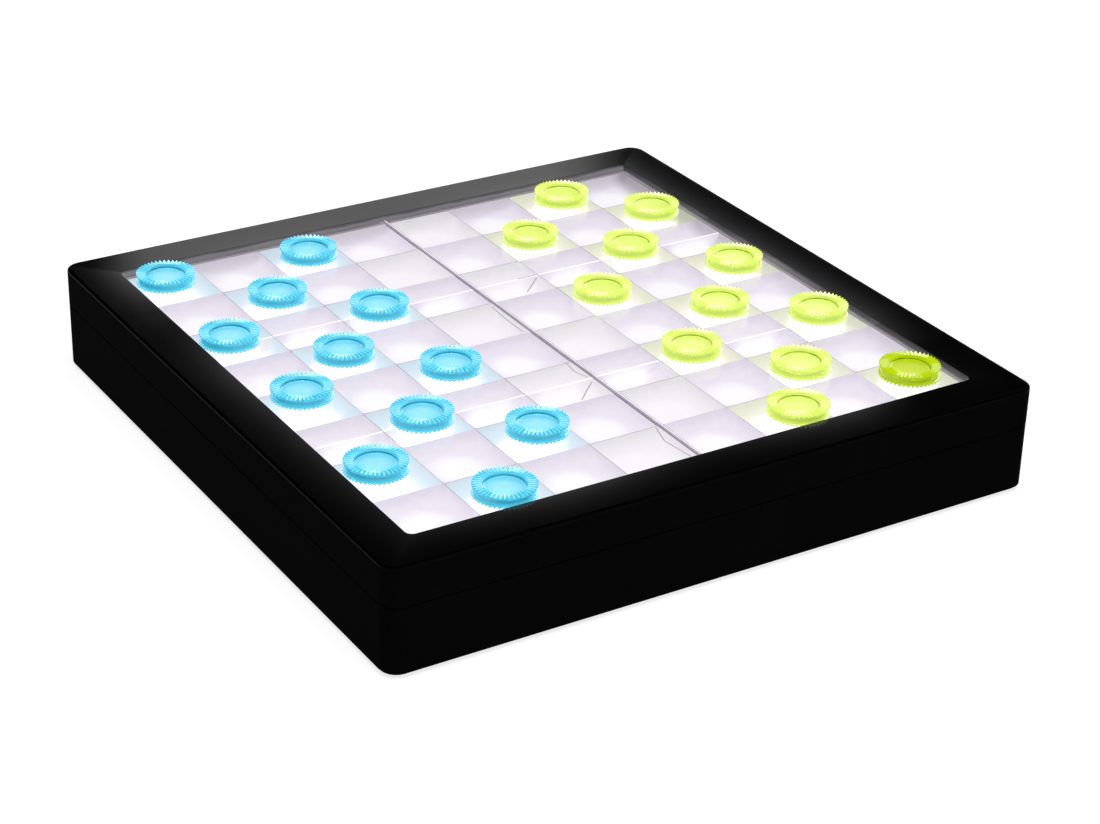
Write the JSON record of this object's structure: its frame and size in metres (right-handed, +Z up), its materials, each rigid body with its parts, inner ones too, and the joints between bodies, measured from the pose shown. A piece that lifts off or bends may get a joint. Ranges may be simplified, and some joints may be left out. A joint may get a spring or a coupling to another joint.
{
  "type": "checkers board",
  "caption": "Lit checkers board: square black case, sunken glowing play field under clear panels, loose ridged blue and yellow checkers, sliding battery door and power switch.",
  "frame": {"origin": "middle of the resting plane under the four feet", "axes": "+X from the blue side's rows to the yellow side's rows, +Y from the front edge to the back edge with the battery door and the switch, +Z up out of the play field"},
  "size_m": [0.3, 0.3, 0.05],
  "materials": {
    "black_plastic": "satin to glossy black, moulded",
    "clear_plastic": "clear, polished, lit from below",
    "seam_grey": "matte dark grey",
    "diffuser_white": "frosted white, faint lavender, glowing",
    "reflector_white": "matte white",
    "lamp_board_white": "white solder mask with white lamps",
    "cell_jacket": "printed dark jacket, plain",
    "plated_steel": "bright plated",
    "switch_metal": "stamped metal shell",
    "switch_knob": "matte black",
    "foot_rubber": "matte black rubber",
    "lead_red": "satin red insulation",
    "lead_black": "satin black insulation",
    "checker_blue": "clear cyan blue, polished",
    "checker_yellow": "clear fluorescent yellow-green, polished"
  },
  "bodies": {
    "case": {"upper_housing": "black_plastic", "lower_housing": "black_plastic", "play_panel_left": "clear_plastic", "play_panel_right": "clear_plastic", "seam_strip": "seam_grey", "diffuser_sheet": "diffuser_white", "reflector_tray": "reflector_white", "lamp_board_left": "lamp_board_white", "lamp_board_right": "lamp_board_white", "battery_cell_1": "cell_jacket", "battery_cell_2": "cell_jacket", "battery_cell_3": "cell_jacket", "contact_positive": "plated_steel", "contact_negative": "plated_steel", "contact_link_front": "plated_steel", "contact_link_back": "plated_steel", "switch_body": "switch_metal", "lead_battery_to_switch": "lead_red", "lead_switch_to_board": "lead_red", "lead_battery_to_board": "lead_black", "lead_board_link": "lead_black", "case_screw_1": "plated_steel", "case_screw_2": "plated_steel", "case_screw_3": "plated_steel", "case_screw_4": "plated_steel", "case_screw_5": "plated_steel", "case_screw_6": "plated_steel", "foot_1": "foot_rubber", "foot_2": "foot_rubber", "foot_3": "foot_rubber", "foot_4": "foot_rubber"},
    "door": {"battery_door": "black_plastic"},
    "slider": {"switch_slider": "switch_knob"},
    "blue_01": {"blue_checker_01": "checker_blue"},
    "blue_02": {"blue_checker_02": "checker_blue"},
    "blue_03": {"blue_checker_03": "checker_blue"},
    "blue_04": {"blue_checker_04": "checker_blue"},
    "blue_05": {"blue_checker_05": "checker_blue"},
    "blue_06": {"blue_checker_06": "checker_blue"},
    "blue_07": {"blue_checker_07": "checker_blue"},
    "blue_08": {"blue_checker_08": "checker_blue"},
    "blue_09": {"blue_checker_09": "checker_blue"},
    "blue_10": {"blue_checker_10": "checker_blue"},
    "blue_11": {"blue_checker_11": "checker_blue"},
    "blue_12": {"blue_checker_12": "checker_blue"},
    "yellow_01": {"yellow_checker_01": "checker_yellow"},
    "yellow_02": {"yellow_checker_02": "checker_yellow"},
    "yellow_03": {"yellow_checker_03": "checker_yellow"},
    "yellow_04": {"yellow_checker_04": "checker_yellow"},
    "yellow_05": {"yellow_checker_05": "checker_yellow"},
    "yellow_06": {"yellow_checker_06": "checker_yellow"},
    "yellow_07": {"yellow_checker_07": "checker_yellow"},
    "yellow_08": {"yellow_checker_08": "checker_yellow"},
    "yellow_09": {"yellow_checker_09": "checker_yellow"},
    "yellow_10": {"yellow_checker_10": "checker_yellow"},
    "yellow_11": {"yellow_checker_11": "checker_yellow"},
    "yellow_12": {"yellow_checker_12": "checker_yellow"}
  },
  "joints": [
    {"name": "door_slide", "type": "slide", "parent": "case", "child": "door", "axis": [0, 1, 0], "range_m": [0, 0.059]},
    {"name": "switch_slide", "type": "slide", "parent": "case", "child": "slider", "axis": [1, 0, 0], "range_m": [-0.004, 0]},
    {"name": "blue_01_lift", "type": "slide", "parent": "case", "child": "blue_01", "axis": [0, 0, 1], "range_m": [0, 0.03]},
    {"name": "blue_02_lift", "type": "slide", "parent": "case", "child": "blue_02", "axis": [0, 0, 1], "range_m": [0, 0.03]},
    {"name": "blue_03_lift", "type": "slide", "parent": "case", "child": "blue_03", "axis": [0, 0, 1], "range_m": [0, 0.03]},
    {"name": "blue_04_lift", "type": "slide", "parent": "case", "child": "blue_04", "axis": [0, 0, 1], "range_m": [0, 0.03]},
    {"name": "blue_05_lift", "type": "slide", "parent": "case", "child": "blue_05", "axis": [0, 0, 1], "range_m": [0, 0.03]},
    {"name": "blue_06_lift", "type": "slide", "parent": "case", "child": "blue_06", "axis": [0, 0, 1], "range_m": [0, 0.03]},
    {"name": "blue_07_lift", "type": "slide", "parent": "case", "child": "blue_07", "axis": [0, 0, 1], "range_m": [0, 0.03]},
    {"name": "blue_08_lift", "type": "slide", "parent": "case", "child": "blue_08", "axis": [0, 0, 1], "range_m": [0, 0.03]},
    {"name": "blue_09_lift", "type": "slide", "parent": "case", "child": "blue_09", "axis": [0, 0, 1], "range_m": [0, 0.03]},
    {"name": "blue_10_lift", "type": "slide", "parent": "case", "child": "blue_10", "axis": [0, 0, 1], "range_m": [0, 0.03]},
    {"name": "blue_11_lift", "type": "slide", "parent": "case", "child": "blue_11", "axis": [0, 0, 1], "range_m": [0, 0.03]},
    {"name": "blue_12_lift", "type": "slide", "parent": "case", "child": "blue_12", "axis": [0, 0, 1], "range_m": [0, 0.03]},
    {"name": "yellow_01_lift", "type": "slide", "parent": "case", "child": "yellow_01", "axis": [0, 0, 1], "range_m": [0, 0.03]},
    {"name": "yellow_02_lift", "type": "slide", "parent": "case", "child": "yellow_02", "axis": [0, 0, 1], "range_m": [0, 0.03]},
    {"name": "yellow_03_lift", "type": "slide", "parent": "case", "child": "yellow_03", "axis": [0, 0, 1], "range_m": [0, 0.03]},
    {"name": "yellow_04_lift", "type": "slide", "parent": "case", "child": "yellow_04", "axis": [0, 0, 1], "range_m": [0, 0.03]},
    {"name": "yellow_05_lift", "type": "slide", "parent": "case", "child": "yellow_05", "axis": [0, 0, 1], "range_m": [0, 0.03]},
    {"name": "yellow_06_lift", "type": "slide", "parent": "case", "child": "yellow_06", "axis": [0, 0, 1], "range_m": [0, 0.03]},
    {"name": "yellow_07_lift", "type": "slide", "parent": "case", "child": "yellow_07", "axis": [0, 0, 1], "range_m": [0, 0.03]},
    {"name": "yellow_08_lift", "type": "slide", "parent": "case", "child": "yellow_08", "axis": [0, 0, 1], "range_m": [0, 0.03]},
    {"name": "yellow_09_lift", "type": "slide", "parent": "case", "child": "yellow_09", "axis": [0, 0, 1], "range_m": [0, 0.03]},
    {"name": "yellow_10_lift", "type": "slide", "parent": "case", "child": "yellow_10", "axis": [0, 0, 1], "range_m": [0, 0.03]},
    {"name": "yellow_11_lift", "type": "slide", "parent": "case", "child": "yellow_11", "axis": [0, 0, 1], "range_m": [0, 0.03]},
    {"name": "yellow_12_lift", "type": "slide", "parent": "case", "child": "yellow_12", "axis": [0, 0, 1], "range_m": [0, 0.03]}
  ]
}
